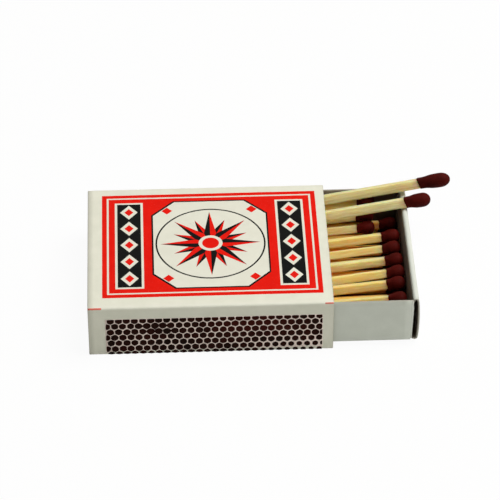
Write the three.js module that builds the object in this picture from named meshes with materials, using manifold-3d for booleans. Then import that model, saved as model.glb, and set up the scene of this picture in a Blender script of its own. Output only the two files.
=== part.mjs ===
// A matchbox: a folded card sleeve with a striking strip on each long side, and a folded card tray
// that slides in it, pulled part of the way out, with wooden matches lying in it.
// Millimetres. The origin is the middle of the sleeve's underside, +X is the way the tray opens,
// +Z is up, and the strip towards -Y is the front one.

import * as THREE from 'three';
import { mergeVertices } from 'three/addons/utils/BufferGeometryUtils.js';
import Module from 'manifold-3d';

const wasm = await Module();
wasm.setup();

// Matches
const SPLINT = 1.6; // side of the square section
const LOOSE_SPLINT = 1.7; // the loose ones are cut a little thicker
const MATCH_LENGTH = 42;
const SHORTFALL = 1; // how much shorter the matches that lie drawn back are
const HEAD_DIAMETER = 3;
const HEAD_LENGTH = 3.8;
const LOOSE_HEAD_LENGTH = 5.6;
const LONG_HEAD_LENGTH = 7;
const NECK_DIAMETER = 2.52;
const SOCKET_DEPTH = 1.2;
const SOCKET_PLAY = 0.05;
const PILE_PLAY = 0.05; // between matches that rest on each other
const BOTTOM_ROW = 9;
const TIP_GAP = 0.1; // from the rows' head tips to the end wall
const TAIL_GAP = 0.3; // from the drawn back matches' tails to the other end wall

// Tray
const MATCH_END_PLAY = 4.4; // room that a match has along the tray
const TRAY_CARD = 0.35;
const TRAY_FOLD = 0.6; // outer radius of the folds
const TRAY_SIDE_PLAY = 0.4; // to the sleeve's side walls, each side
const TRAY_SEAT_PLAY = 0.1; // over the glued lap
const TRAY_TOP_PLAY = 0.3; // under the sleeve's roof
const TRAY_OUT = 17.1; // how far the tray's end fold stands out of the sleeve
const END_WALL_DEPTH = 1.4; // from the fold line to the inner panel's face
const END_BOW = 0.6; // how far the outer end panel springs outwards
const SIDE_WALL_SET_BACK = 0.6; // from the end fold to the side wall's corner fold
const CORNER_FLAP = 12; // length of the flaps that turn in from the side walls
const CARD_PLAY = 0.15; // between layers of card that aren't glued

// Sleeve
const SLEEVE_COVER = 0.4; // how far the sleeve reaches past the shut tray, each end
const SLEEVE_WIDTH = 39;
const SLEEVE_HEIGHT = 12.5;
const SLEEVE_CARD = 0.45;
const SLEEVE_FOLD = 0.6; // outer radius of the folds
const LAP_WIDTH = 9; // glued lap on the inside of the floor, along the back wall
const LAP_SET_BACK = 0.25; // how far the floor's free edge stops short of the back wall's face

// Striking strips
const STRIP_LENGTH = 44.2;
const STRIP_HEIGHT = 8.9;
const STRIP_FROM_MOUTH = 2.3;
const STRIP_FROM_FLOOR = 0.5;
const GROUND_COAT = 0.05;
const PAD_HEIGHT = 0.08;
const PAD_PITCH = 1.65;
const PAD_ACROSS_FLATS = 1.29;
const STRIP_GLUE = 0.02; // between the wall and the strip

// Sizes that follow from those above
const TRAY_LENGTH = MATCH_LENGTH + MATCH_END_PLAY + 2 * END_WALL_DEPTH; // between the end walls' folds
const SLEEVE_LENGTH = TRAY_LENGTH + 2 * SLEEVE_COVER;
const MOUTH_X = SLEEVE_LENGTH / 2;
const TRAY_END_X = MOUTH_X + TRAY_OUT;
const TRAY_BACK_X = TRAY_END_X - TRAY_LENGTH;
const TRAY_HALF_WIDTH = SLEEVE_WIDTH / 2 - SLEEVE_CARD - TRAY_SIDE_PLAY;
const TRAY_INSIDE_HALF = TRAY_HALF_WIDTH - TRAY_CARD;
const TRAY_BOTTOM = 2 * SLEEVE_CARD + TRAY_SEAT_PLAY;
const TRAY_FLOOR = TRAY_BOTTOM + TRAY_CARD;
const TRAY_RIM = SLEEVE_HEIGHT - SLEEVE_CARD - TRAY_TOP_PLAY;
const INSIDE_END_X = TRAY_END_X - END_WALL_DEPTH;
const HEAD_RADIUS = HEAD_DIAMETER / 2;
const LEAST_RADIUS = 0.05; // inside a fold whose card is thicker than its outer radius
const SPARE = 1; // how far a piece reaches into or past the one that it is joined to or cut by

// Materials

function finish(color, roughness) {
  return new THREE.MeshStandardMaterial({ color, roughness, metalness: 0 });
}

const coatedCard = () => finish(0xdedccf, 0.55);
const greyCard = () => finish(0xc9cbc0, 0.8);
const strikingCoat = () => finish(0x2a1a1c, 0.95);
const aspenWood = () => finish(0xd9b472, 0.75);
const headCoat = () => finish(0x4a1114, 0.6);

// Helpers

const quarter = Math.PI / 2;

// A closed three.js geometry as a solid that can be joined and cut
function solidOf(geometry) {
  const bare = geometry.clone();
  bare.deleteAttribute('normal');
  bare.deleteAttribute('uv');
  const merged = mergeVertices(bare, 1e-4);
  return new wasm.Manifold(new wasm.Mesh({
    numProp: 3,
    vertProperties: new Float32Array(merged.attributes.position.array),
    triVerts: new Uint32Array(merged.index.array),
  }));
}

function geometryOf(solid) {
  const mesh = solid.getMesh();
  const geometry = new THREE.BufferGeometry();
  geometry.setAttribute('position', new THREE.BufferAttribute(new Float32Array(mesh.vertProperties), 3));
  geometry.setIndex(new THREE.BufferAttribute(new Uint32Array(mesh.triVerts), 1));
  geometry.computeVertexNormals();
  return geometry;
}

function joined(solids) {
  return solids.reduce((whole, piece) => whole.add(piece));
}

// An outline drawn as (y, z), carried from x = from to x = to
function alongX(shape, from, to, curveSegments = 2) {
  const geometry = new THREE.ExtrudeGeometry(shape, { depth: to - from, bevelEnabled: false, curveSegments });
  const turn = new THREE.Matrix4().set(
    0, 0, 1, from,
    1, 0, 0, 0,
    0, 1, 0, 0,
    0, 0, 0, 1,
  );
  return geometry.applyMatrix4(turn);
}

// An outline drawn as (x, z), carried from y = -halfWidth to y = halfWidth
function alongY(shape, halfWidth) {
  const geometry = new THREE.ExtrudeGeometry(shape, { depth: 2 * halfWidth, bevelEnabled: false });
  return geometry.rotateX(quarter).translate(0, halfWidth, 0);
}

// An outline drawn as (x, y), carried from z = from to z = to
function alongZ(shape, from, to, curveSegments = 2) {
  const geometry = new THREE.ExtrudeGeometry(shape, { depth: to - from, bevelEnabled: false, curveSegments });
  return geometry.translate(0, 0, from);
}

function named(name, geometry, material) {
  const mesh = new THREE.Mesh(geometry, material);
  mesh.name = name;
  return mesh;
}

// Sleeve: one strip of card folded round four edges. It ends in a lap on the inside of the floor, under
// the back wall, and the floor's own free edge shows there as a seam.

function sleeveOutline() {
  const half = SLEEVE_WIDTH / 2;
  const top = SLEEVE_HEIGHT;
  const card = SLEEVE_CARD;
  const r = SLEEVE_FOLD;
  const inner = Math.max(r - card, LEAST_RADIUS);

  const outline = new THREE.Shape();
  outline.moveTo(-half + r, 0);
  outline.lineTo(half - LAP_SET_BACK, 0);
  outline.lineTo(half - LAP_SET_BACK, card);
  outline.lineTo(half - r, card);
  outline.absarc(half - r, card + r, r, -quarter, 0, false);
  outline.lineTo(half, top - r);
  outline.absarc(half - r, top - r, r, 0, quarter, false);
  outline.lineTo(-half + r, top);
  outline.absarc(-half + r, top - r, r, quarter, 2 * quarter, false);
  outline.lineTo(-half, r);
  outline.absarc(-half + r, r, r, 2 * quarter, 3 * quarter, false);

  const inside = new THREE.Path();
  inside.moveTo(-half + card + inner, card);
  inside.absarc(-half + card + inner, card + inner, inner, 3 * quarter, 2 * quarter, true);
  inside.absarc(-half + card + inner, top - card - inner, inner, 2 * quarter, quarter, true);
  inside.absarc(half - card - inner, top - card - inner, inner, quarter, 0, true);
  inside.absarc(half - card - inner, 2 * card + inner, inner, 0, -quarter, true);
  inside.lineTo(half - card - LAP_WIDTH, 2 * card);
  inside.lineTo(half - card - LAP_WIDTH, card);
  inside.closePath();
  outline.holes.push(inside);
  return outline;
}

function sleeve() {
  return alongX(sleeveOutline(), -SLEEVE_LENGTH / 2, SLEEVE_LENGTH / 2);
}

// Striking strip: a thin ground coat with a honeycomb of raised pads, cut off at the strip's edges. It is
// drawn flat as (x, height) with the pads standing up, and then stood against the wall on one side.

function pad(x, y) {
  const radius = PAD_ACROSS_FLATS / Math.sqrt(3);
  const corners = [0, 1, 2, 3, 4, 5].map((corner) => {
    const angle = quarter + corner * Math.PI / 3;
    return new THREE.Vector2(x + radius * Math.cos(angle), y + radius * Math.sin(angle));
  });
  return solidOf(alongZ(new THREE.Shape(corners), 0, GROUND_COAT + PAD_HEIGHT));
}

function strikingStrip(side) {
  const rowPitch = PAD_PITCH * Math.sqrt(3) / 2;
  const reachAcross = (STRIP_LENGTH + PAD_ACROSS_FLATS) / 2;
  const reachUp = STRIP_HEIGHT / 2 + PAD_ACROSS_FLATS / Math.sqrt(3);
  const rows = Math.floor(reachUp / rowPitch);
  const columns = Math.ceil(reachAcross / PAD_PITCH);
  const pads = [];
  for (let row = -rows; row <= rows; row += 1) {
    const shift = row % 2 ? 0 : PAD_PITCH / 2;
    for (let column = -columns; column <= columns; column += 1) {
      const x = column * PAD_PITCH + shift;
      if (Math.abs(x) < reachAcross) pads.push(pad(x, row * rowPitch));
    }
  }
  const ground = new THREE.BoxGeometry(STRIP_LENGTH, STRIP_HEIGHT, GROUND_COAT);
  ground.translate(0, 0, GROUND_COAT / 2);
  const field = new THREE.BoxGeometry(STRIP_LENGTH, STRIP_HEIGHT, 4 * (GROUND_COAT + PAD_HEIGHT));
  const strip = geometryOf(joined([...pads, solidOf(ground)]).intersect(solidOf(field)));

  const across = MOUTH_X - STRIP_FROM_MOUTH - STRIP_LENGTH / 2;
  const up = STRIP_FROM_FLOOR + STRIP_HEIGHT / 2;
  strip.rotateX(quarter);
  if (side > 0) strip.rotateZ(2 * quarter);
  return strip.translate(across, side * (SLEEVE_WIDTH / 2 + STRIP_GLUE), up);
}

// Tray: one folded blank. The floor carries the two side walls and the two end walls. Each side wall turns
// in at its ends as a corner flap, and each end wall rises outside the flaps, springs outwards, folds over
// at the rim and comes down inside them, so it is hollow, and open where it passes the corners.

// Floor and side walls as (y, z)
function troughOutline() {
  const half = TRAY_HALF_WIDTH;
  const inside = TRAY_INSIDE_HALF;
  const r = TRAY_FOLD;
  const inner = Math.max(r - TRAY_CARD, LEAST_RADIUS);
  const outline = new THREE.Shape();
  outline.moveTo(-half, TRAY_RIM);
  outline.lineTo(-half, TRAY_BOTTOM + r);
  outline.absarc(-half + r, TRAY_BOTTOM + r, r, 2 * quarter, 3 * quarter, false);
  outline.lineTo(half - r, TRAY_BOTTOM);
  outline.absarc(half - r, TRAY_BOTTOM + r, r, 3 * quarter, 4 * quarter, false);
  outline.lineTo(half, TRAY_RIM);
  outline.lineTo(inside, TRAY_RIM);
  outline.absarc(inside - inner, TRAY_FLOOR + inner, inner, 0, -quarter, true);
  outline.absarc(-inside + inner, TRAY_FLOOR + inner, inner, 3 * quarter, 2 * quarter, true);
  outline.lineTo(-inside, TRAY_RIM);
  outline.closePath();
  return outline;
}

// The side walls' plan, with rounded corners where they turn in
function troughPlan() {
  const end = TRAY_END_X - SIDE_WALL_SET_BACK;
  const back = TRAY_BACK_X + SIDE_WALL_SET_BACK;
  const half = TRAY_HALF_WIDTH;
  const r = TRAY_FOLD;
  const plan = new THREE.Shape();
  plan.absarc(end - r, half - r, r, 0, quarter, false);
  plan.absarc(back + r, half - r, r, quarter, 2 * quarter, false);
  plan.absarc(back + r, -half + r, r, 2 * quarter, 3 * quarter, false);
  plan.absarc(end - r, -half + r, r, 3 * quarter, 4 * quarter, false);
  plan.closePath();
  return plan;
}

// One corner flap's plan, for the end at xSign and the side at ySign
function flapPlan(xSign, ySign) {
  const middle = (TRAY_END_X + TRAY_BACK_X) / 2;
  const outer = TRAY_LENGTH / 2 - SIDE_WALL_SET_BACK;
  const half = TRAY_HALF_WIDTH;
  const card = TRAY_CARD;
  const r = TRAY_FOLD;
  const inner = Math.max(r - card, LEAST_RADIUS);
  const points = [[outer, half - CORNER_FLAP], [outer - card, half - CORNER_FLAP]];
  const turn = 2;
  for (let step = 0; step <= turn; step += 1) {
    const angle = quarter * step / turn;
    points.push([outer - card - inner * (1 - Math.cos(angle)), half - card - inner * (1 - Math.sin(angle))]);
  }
  for (let step = turn; step >= 0; step -= 1) {
    const angle = quarter * step / turn;
    points.push([outer - r * (1 - Math.cos(angle)), half - r * (1 - Math.sin(angle))]);
  }
  return new THREE.Shape(points.map(([x, y]) => new THREE.Vector2(middle + xSign * x, ySign * y)));
}

// How far the outer end panel stands out at a share of its height: nothing at the folds, most between them
function bow(share) {
  const fullness = 0.7;
  return END_BOW * Math.sin(Math.PI * share) ** fullness;
}

// One end wall as (x, z), for the end at xSign: the foot fold and the outer panel, and where wholeWall is
// true also the rim fold and the inner panel
function endWallOutline(xSign, wholeWall) {
  const middle = (TRAY_END_X + TRAY_BACK_X) / 2;
  const fold = TRAY_LENGTH / 2;
  const card = TRAY_CARD;
  const r = TRAY_FOLD;
  const inner = Math.max(r - card, LEAST_RADIUS);
  const rimRadius = END_WALL_DEPTH / 2;
  const foot = TRAY_BOTTOM + r;
  const shoulder = TRAY_RIM - rimRadius;
  const steps = 6;
  const turns = 3;
  const outside = [];
  const inside = [];

  const overlap = r + SPARE;
  outside.push([fold - overlap, TRAY_BOTTOM]);
  inside.push([fold - overlap, TRAY_FLOOR]);
  for (let step = 0; step < turns; step += 1) {
    const angle = quarter * step / turns;
    outside.push([fold - r + r * Math.sin(angle), foot - r * Math.cos(angle)]);
    inside.push([fold - r + inner * Math.sin(angle), foot - inner * Math.cos(angle)]);
  }
  for (let step = 0; step <= steps; step += 1) {
    const share = step / steps;
    const z = foot + (shoulder - foot) * share;
    outside.push([fold + bow(share), z]);
    inside.push([fold + bow(share) - card, z]);
  }
  if (wholeWall) {
    const centre = fold - rimRadius;
    for (let step = 1; step <= 2 * turns; step += 1) {
      const angle = quarter * step / turns;
      outside.push([centre + rimRadius * Math.cos(angle), shoulder + rimRadius * Math.sin(angle)]);
      const small = rimRadius - card;
      inside.push([centre + small * Math.cos(angle), shoulder + small * Math.sin(angle)]);
    }
    outside.push([fold - END_WALL_DEPTH, TRAY_FLOOR + CARD_PLAY]);
    inside.push([fold - END_WALL_DEPTH + card, TRAY_FLOOR + CARD_PLAY]);
  }
  const round = [...outside, ...inside.reverse()];
  return new THREE.Shape(round.map(([x, z]) => new THREE.Vector2(middle + xSign * x, z)));
}

function tray() {
  const back = TRAY_BACK_X + SIDE_WALL_SET_BACK;
  const end = TRAY_END_X - SIDE_WALL_SET_BACK;
  const flapTop = TRAY_RIM - END_WALL_DEPTH / 2;
  const trough = solidOf(alongX(troughOutline(), back - SPARE, end + SPARE))
    .intersect(solidOf(alongZ(troughPlan(), TRAY_BOTTOM - SPARE, TRAY_RIM + SPARE)));
  const pieces = [trough];
  for (const xSign of [-1, 1]) {
    pieces.push(solidOf(alongY(endWallOutline(xSign, false), TRAY_HALF_WIDTH)));
    pieces.push(solidOf(alongY(endWallOutline(xSign, true), TRAY_INSIDE_HALF - CARD_PLAY)));
    for (const ySign of [-1, 1]) {
      pieces.push(solidOf(alongZ(flapPlan(xSign, ySign), TRAY_FLOOR + CARD_PLAY, flapTop)));
    }
  }
  return geometryOf(joined(pieces));
}

// Matches

// A head as a dipped drop: a square socket for the splint at its flat neck, a full middle, a round tip.
// It is turned so that its neck is at the origin and its tip points along +X.
function head(splint, length) {
  const fullestAt = 0.45;
  const shoulderAt = 0.86;
  const shoulderWidth = 0.72;
  const profile = [
    [0, 0],
    [NECK_DIAMETER / 2, 0],
    [HEAD_RADIUS, length * fullestAt],
    [HEAD_RADIUS * shoulderWidth, length * shoulderAt],
    [0, length],
  ].map(([radius, along]) => new THREE.Vector2(radius, along));
  const drop = new THREE.LatheGeometry(profile, 8).rotateZ(-quarter);
  const side = splint + 2 * SOCKET_PLAY;
  const socket = new THREE.BoxGeometry(2 * SOCKET_DEPTH, side, side);
  return geometryOf(solidOf(drop).subtract(solidOf(socket)));
}

function stick(splint, length) {
  const wood = length + SOCKET_DEPTH - SOCKET_PLAY;
  return new THREE.BoxGeometry(wood, splint, splint).translate(wood / 2 - length, 0, 0);
}

// A match whose head begins at neck = [x, y, z], and whose tail lies at tailY and tailZ
function match(number, place) {
  const { neck, tailY, tailZ, splint = SPLINT, length = MATCH_LENGTH, headLength = HEAD_LENGTH } = place;
  const [x, y, z] = neck;
  const bare = length - headLength;
  const group = new THREE.Group();
  group.position.set(x, y, z);
  group.rotation.order = 'ZYX';
  const level = Math.sqrt(bare ** 2 - (z - tailZ) ** 2);
  group.rotation.y = -Math.asin((z - tailZ) / bare);
  group.rotation.z = Math.asin((y - tailY) / level);
  const name = `match_${String(number).padStart(2, '0')}`;
  group.add(named(`${name}_stick`, stick(splint, bare), aspenWood()));
  group.add(named(`${name}_head`, head(splint, headLength), headCoat()));
  return group;
}

// The rows of the pile. A head is wider than its splint, so each row's heads lie on those below while the
// tails lie low: every match is pitched up a little towards its head.
const ROW_PITCH = 2 * TRAY_INSIDE_HALF / BOTTOM_ROW;
const FLOOR_HEAD_Z = TRAY_FLOOR + HEAD_RADIUS + PILE_PLAY;
const FLOOR_TAIL_Z = TRAY_FLOOR + SPLINT / 2 + PILE_PLAY;
const UPPER_TAIL_Z = FLOOR_TAIL_Z + SPLINT + PILE_PLAY;
const ROW_NECK_X = INSIDE_END_X - TIP_GAP - HEAD_LENGTH;

// Height of a head that lies on one of its own size at height below, the given distance across from it
function restingOn(below, across) {
  const reach = HEAD_DIAMETER + PILE_PLAY;
  return below + Math.sqrt(Math.max(reach ** 2 - across ** 2, 0));
}

function bottomRows() {
  const middleHeadZ = restingOn(FLOOR_HEAD_Z, ROW_PITCH / 2);
  const matches = [];
  for (let place = 0; place < BOTTOM_ROW; place += 1) {
    const y = (place - (BOTTOM_ROW - 1) / 2) * ROW_PITCH;
    matches.push({ neck: [ROW_NECK_X, y, FLOOR_HEAD_Z], tailY: y, tailZ: FLOOR_TAIL_Z });
  }
  for (let place = 1; place < BOTTOM_ROW; place += 1) {
    const y = (place - BOTTOM_ROW / 2) * ROW_PITCH;
    matches.push({ neck: [ROW_NECK_X, y, middleHeadZ], tailY: y, tailZ: FLOOR_TAIL_Z });
  }
  return matches;
}

// The top row, front to back: each match's share of the row's spare room, which lies as a gap in front of
// its head, how far its tail lies across from its head, counted in what a head is wider than a splint, and
// the share of a head's length by which it is drawn back
const TOP_ROW = [
  { gap: 0.36, askew: 1, drawn: 0.05 },
  { gap: 0.3, askew: -0.2, drawn: 0.03 },
  { gap: 0, askew: -1.15, drawn: 0 },
  { gap: 0.12, askew: -0.25, drawn: 0 },
  { gap: 0.12, askew: -0.55, drawn: 0.08 },
  { gap: 0.1, askew: -0.3, drawn: 0.03 },
];
const TOP_ROW_FROM_BACK = 3.5 * HEAD_DIAMETER; // from the back wall to the top row's last head

function topRow() {
  const middleHeadZ = restingOn(FLOOR_HEAD_Z, ROW_PITCH / 2);
  const width = HEAD_DIAMETER + PILE_PLAY;
  const spareRoom = 2 * TRAY_INSIDE_HALF - TOP_ROW_FROM_BACK - TOP_ROW.length * width;
  const matches = [];
  let y = -TRAY_INSIDE_HALF - HEAD_RADIUS;
  for (const { gap, askew, drawn } of TOP_ROW) {
    y += width + gap * spareRoom;
    const tailY = y + askew * (HEAD_DIAMETER - SPLINT);
    const nearest = Math.abs(y / ROW_PITCH - Math.floor(y / ROW_PITCH) - 0.5) * ROW_PITCH;
    const z = restingOn(middleHeadZ, nearest);
    matches.push({ neck: [ROW_NECK_X - drawn * HEAD_LENGTH, y, z], tailY, tailZ: UPPER_TAIL_Z });
  }
  return matches;
}

// Height of a match's centre line at x
function heightAt({ neck, tailZ, length = MATCH_LENGTH, headLength = HEAD_LENGTH }, x) {
  const pitch = Math.asin((neck[2] - tailZ) / (length - headLength));
  return neck[2] - (neck[0] - x) * Math.tan(pitch);
}

// A short match drawn back from the rows' heads until its tail is close to the end wall behind it, with
// its head on a splint of the middle row. Its place across the tray is counted in head diameters from the
// back wall.
function drawnBack(head, tail, middleMatch) {
  const x = ROW_NECK_X - (MATCH_END_PLAY - TIP_GAP + SHORTFALL - TAIL_GAP);
  const y = TRAY_INSIDE_HALF - head * HEAD_DIAMETER;
  const tailY = TRAY_INSIDE_HALF - tail * HEAD_DIAMETER;
  const z = heightAt(middleMatch, x) + SPLINT / 2 + HEAD_RADIUS + PILE_PLAY;
  return { neck: [x, y, z], tailY, tailZ: UPPER_TAIL_Z, length: MATCH_LENGTH - SHORTFALL };
}

// A match in the angle between the back wall and the head of another one
function againstBackWall(other) {
  const x = other.neck[0] + TAIL_GAP;
  const y = TRAY_INSIDE_HALF - HEAD_RADIUS - PILE_PLAY;
  const z = restingOn(other.neck[2], y - other.neck[1]);
  return { neck: [x, y, z], tailY: y - SPLINT / 2, tailZ: UPPER_TAIL_Z, length: MATCH_LENGTH - SHORTFALL };
}

// A loose match that lies with its tail on another match and leans on a support nearer its head, which is
// at supportX and has its top at supportTop
function leaning({ neckX, y, tailY, supportX, supportTop, tailOn, headLength }) {
  const bare = MATCH_LENGTH - headLength;
  let slope = 0;
  let tailZ = 0;
  for (let round = 0; round < 6; round += 1) {
    const cosine = 1 / Math.hypot(1, slope);
    const tailX = neckX - bare * cosine;
    const supportZ = supportTop + (LOOSE_SPLINT / 2 + PILE_PLAY) / cosine;
    tailZ = heightAt(tailOn, tailX) + (SPLINT / 2 + LOOSE_SPLINT / 2 + PILE_PLAY) / cosine;
    slope = (supportZ - tailZ) / (supportX - tailX);
  }
  const neckZ = tailZ + bare * slope / Math.hypot(1, slope);
  return { neck: [neckX, y, neckZ], tailY, tailZ, splint: LOOSE_SPLINT, headLength };
}

function looseMatches(middleMatches) {
  const [nextToLast, last] = middleMatches.slice(-2);
  const inner = drawnBack(2.5, 2.53, nextToLast);
  const outer = drawnBack(1.17, 1.45, last);
  const wedged = againstBackWall(outer);
  const besideInner = 0.8 * LOOSE_SPLINT;
  const overRimY = inner.neck[1] + besideInner;
  const overRim = leaning({
    neckX: TRAY_END_X - TAIL_GAP,
    y: overRimY,
    tailY: overRimY,
    supportX: TRAY_END_X - END_WALL_DEPTH / 2,
    supportTop: TRAY_RIM,
    tailOn: inner,
    headLength: LOOSE_HEAD_LENGTH,
  });
  const crownX = wedged.neck[0] + HEAD_LENGTH / 2;
  const askew = 0.2 * LOOSE_SPLINT;
  const overHead = leaning({
    neckX: TRAY_END_X + 2 * END_WALL_DEPTH,
    y: wedged.neck[1],
    tailY: wedged.neck[1] + askew,
    supportX: crownX,
    supportTop: heightAt(wedged, crownX) + HEAD_RADIUS,
    tailOn: wedged,
    headLength: LONG_HEAD_LENGTH,
  });
  return [inner, outer, wedged, overRim, overHead];
}

const rows = bottomRows();
const matches = [...rows, ...topRow(), ...looseMatches(rows)];

const group = new THREE.Group();
group.add(named('sleeve', sleeve(), coatedCard()));
group.add(named('tray', tray(), greyCard()));
group.add(named('front_striker', strikingStrip(-1), strikingCoat()));
group.add(named('back_striker', strikingStrip(1), strikingCoat()));
matches.forEach((one, index) => group.add(match(index + 1, one)));

export default group;
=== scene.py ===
"""A matchbox pulled part of the way open: printed sleeve, grey card tray, honeycomb striking strips and
wooden matches. Shapes are worked out in millimetres and put into their meshes in metres."""

import math

import bmesh
import bpy
import numpy as np
from mathutils import Matrix, Vector


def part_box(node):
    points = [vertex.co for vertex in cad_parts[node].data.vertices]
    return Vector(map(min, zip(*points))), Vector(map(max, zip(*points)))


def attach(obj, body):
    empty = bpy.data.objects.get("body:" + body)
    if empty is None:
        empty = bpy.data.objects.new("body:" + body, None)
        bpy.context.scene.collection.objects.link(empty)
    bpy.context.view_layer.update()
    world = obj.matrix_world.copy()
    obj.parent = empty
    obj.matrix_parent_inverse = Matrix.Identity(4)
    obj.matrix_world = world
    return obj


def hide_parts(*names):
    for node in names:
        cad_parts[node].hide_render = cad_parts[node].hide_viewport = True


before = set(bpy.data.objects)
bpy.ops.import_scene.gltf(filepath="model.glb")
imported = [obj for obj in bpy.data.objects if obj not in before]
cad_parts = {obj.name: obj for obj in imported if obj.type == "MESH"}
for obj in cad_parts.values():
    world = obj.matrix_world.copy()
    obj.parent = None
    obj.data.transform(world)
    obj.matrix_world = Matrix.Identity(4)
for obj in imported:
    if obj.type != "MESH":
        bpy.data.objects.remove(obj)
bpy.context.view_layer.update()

MM = 0.001


def box_of(node):
    """Lowest and highest corner of a node at rest, in millimetres."""
    low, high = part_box(node)
    return np.array(low) / MM, np.array(high) / MM


# Sizes in millimetres: the sleeve, the tray, the striking strips, the matches and the label

SLEEVE_HIGH = box_of("sleeve")[1]
SLEEVE_HALF_LENGTH = SLEEVE_HIGH[0]
SLEEVE_HALF_WIDTH = SLEEVE_HIGH[1]
SLEEVE_TOP = SLEEVE_HIGH[2]
SLEEVE_CARD = 0.45
SLEEVE_FOLD = 0.48
LAP_WIDTH = 9.0
LAP_SET_BACK = 0.25
GLUE = 0.01
ROOF_CROWN = 0.10
WALL_HOLLOW = 0.03
SLEEVE_COLUMNS = 41

TRAY_LOW, TRAY_HIGH = box_of("tray")
TRAY_CARD = 0.35
TRAY_FOLD = 0.6
TRAY_BOW = 0.6
TRAY_FRONT_FOLD_X = TRAY_HIGH[0] - TRAY_BOW
TRAY_BACK_FOLD_X = TRAY_LOW[0] + TRAY_BOW
TRAY_HALF_WIDTH = TRAY_HIGH[1]
TRAY_BOTTOM = TRAY_LOW[2]
TRAY_RIM = TRAY_HIGH[2]
END_WALL_DEPTH = 1.4
RIM_DEPTH = 1.2
RIM_EASE = 1.7
FRONT_LEAN = 0.35
PANEL_SET_BACK = 0.35
SIDE_WALL_SET_BACK = 0.6
CORNER_FLAP = 12.0
CORNER_LEAN = 0.3
CARD_PLAY = 0.15
FLOOR_OVERLAP = 0.6
FOLD_RADIUS = TRAY_FOLD - TRAY_CARD / 2
WALL_Y = TRAY_HALF_WIDTH - TRAY_CARD / 2
FLOOR_Z = TRAY_BOTTOM + TRAY_CARD / 2
ABOVE_FLOOR = TRAY_BOTTOM + TRAY_CARD + CARD_PLAY
SHOULDER = TRAY_RIM - RIM_DEPTH / 2
FLAP_TOP = SHOULDER - RIM_EASE - 0.1
TROUGH_COLUMNS = 32
END_WALL_STEPS = 4, 8, 26, 14, 24
WALL_COLUMNS = 31
FLAP_ROWS = 12

STRIP_LEFT, STRIP_RIGHT = -21.45, 22.7
STRIP_FLOOR, STRIP_CEILING = 0.26, 9.45
PAD_PITCH = 1.638
ROW_PITCH = 1.475
PAD_ACROSS_FLATS = 1.46
PADS_MIDDLE = (0.82, 4.68)
PADS_TILT = 0.0045
PAD_ROWS, PAD_COLUMNS = 4, 15
PAD_OVERHANG = 0.62
PAD_RAYS = 18
PAD_RINGS = ((1.0, 0.0), (0.98, 0.72), (0.88, 0.95), (0.5, 1.0))
PAD_SCATTER = 0.022
PAD_RAGGED = 0.028
PAD_ROUGH = 0.006
LEAST_ROOM = 0.16
SMUDGE, SMUDGE_SPREAD = (-11.0, 6.9), (8.0, 2.2)
SMEARS = ((-13.98, 7.57), (-9.03, 7.60), (-11.47, 6.10), (-11.5, 6.85), (-8.2, 6.12), (-13.1, 6.10))
SMEAR_SHARES = (0.26, 0.35)
# Painted highlight: the pads are redder in a wide bell round the patch at the strips' upper right, where the
# light catches them; the scatter adds a random share of red to each pad
RED_HIGHLIGHT_PATCH, RED_HIGHLIGHT_SPREAD, RED_SCATTER = (9.0, 7.2), (90.0, 7.0), (0.1, 0.12)
NET_LIFT = 0.02
NET_MARGIN_X, NET_MARGIN_S = 0.1, 0.06
PAD_LIFT = 0.10

STICK_ROWS = 34
STICK_SQUARENESS = 14
CORNER_ANGLES = np.radians([0, 22, 35, 42, 48, 55, 68])
SOCKET_DEPTH = 1.15
COAT = 0.12
FULLEST = 0.68
HEAD_COLUMNS = 32
HEAD_SHARES = np.concatenate([[0, 0.006, 0.03], np.linspace(0.08, FULLEST, 9),
                              1 - (1 - FULLEST) * (1 - np.sin(np.linspace(0.15, 1.5, 11)))])

LABEL_LEFT = -22.0
LABEL_RIGHT = 23.05
LABEL_FRONT = -16.3
LABEL_BACK = 17.2
INK = 0.008
UNDER_PRINT = -2 * INK


# Arrays and meshes


def grid_faces(rows, columns, start=0, round_columns=False):
    """Quads of a grid of rows by columns points, numbered row by row from start."""
    i = np.arange(rows - 1)[:, None]
    j = np.arange(columns if round_columns else columns - 1)[None, :]
    k = (j + 1) % columns
    a, b, c, d = i * columns + j, i * columns + k, (i + 1) * columns + k, (i + 1) * columns + j
    return start + np.stack(np.broadcast_arrays(a, b, c, d), -1).reshape(-1, 4)


def strip_faces(first, second):
    """Quads between two closed rings of points that have the same length."""
    return np.stack([first, np.roll(first, -1), np.roll(second, -1), second], -1)


def fan_faces(ring, pole):
    """Triangles between a closed ring of points and one point."""
    return np.stack([ring, np.roll(ring, -1), np.full(len(ring), pole)], -1)


def tube_faces(rows, columns):
    """Faces of a tube of rows by columns points, closed by two more points: one for its first row and one
    for its last."""
    size, ring = rows * columns, np.arange(columns)
    return [grid_faces(rows, columns, 0, True), fan_faces(ring[::-1], size),
            fan_faces(ring + size - columns, size + 1)]


def eased(share):
    """A share that starts and ends gently: 3 share ** 2 - 2 share ** 3."""
    return 3 * share ** 2 - 2 * share ** 3


def unit(vectors):
    """Each vector divided by its length."""
    return vectors / np.maximum(np.linalg.norm(vectors, axis=-1, keepdims=True), 1e-12)


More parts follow.
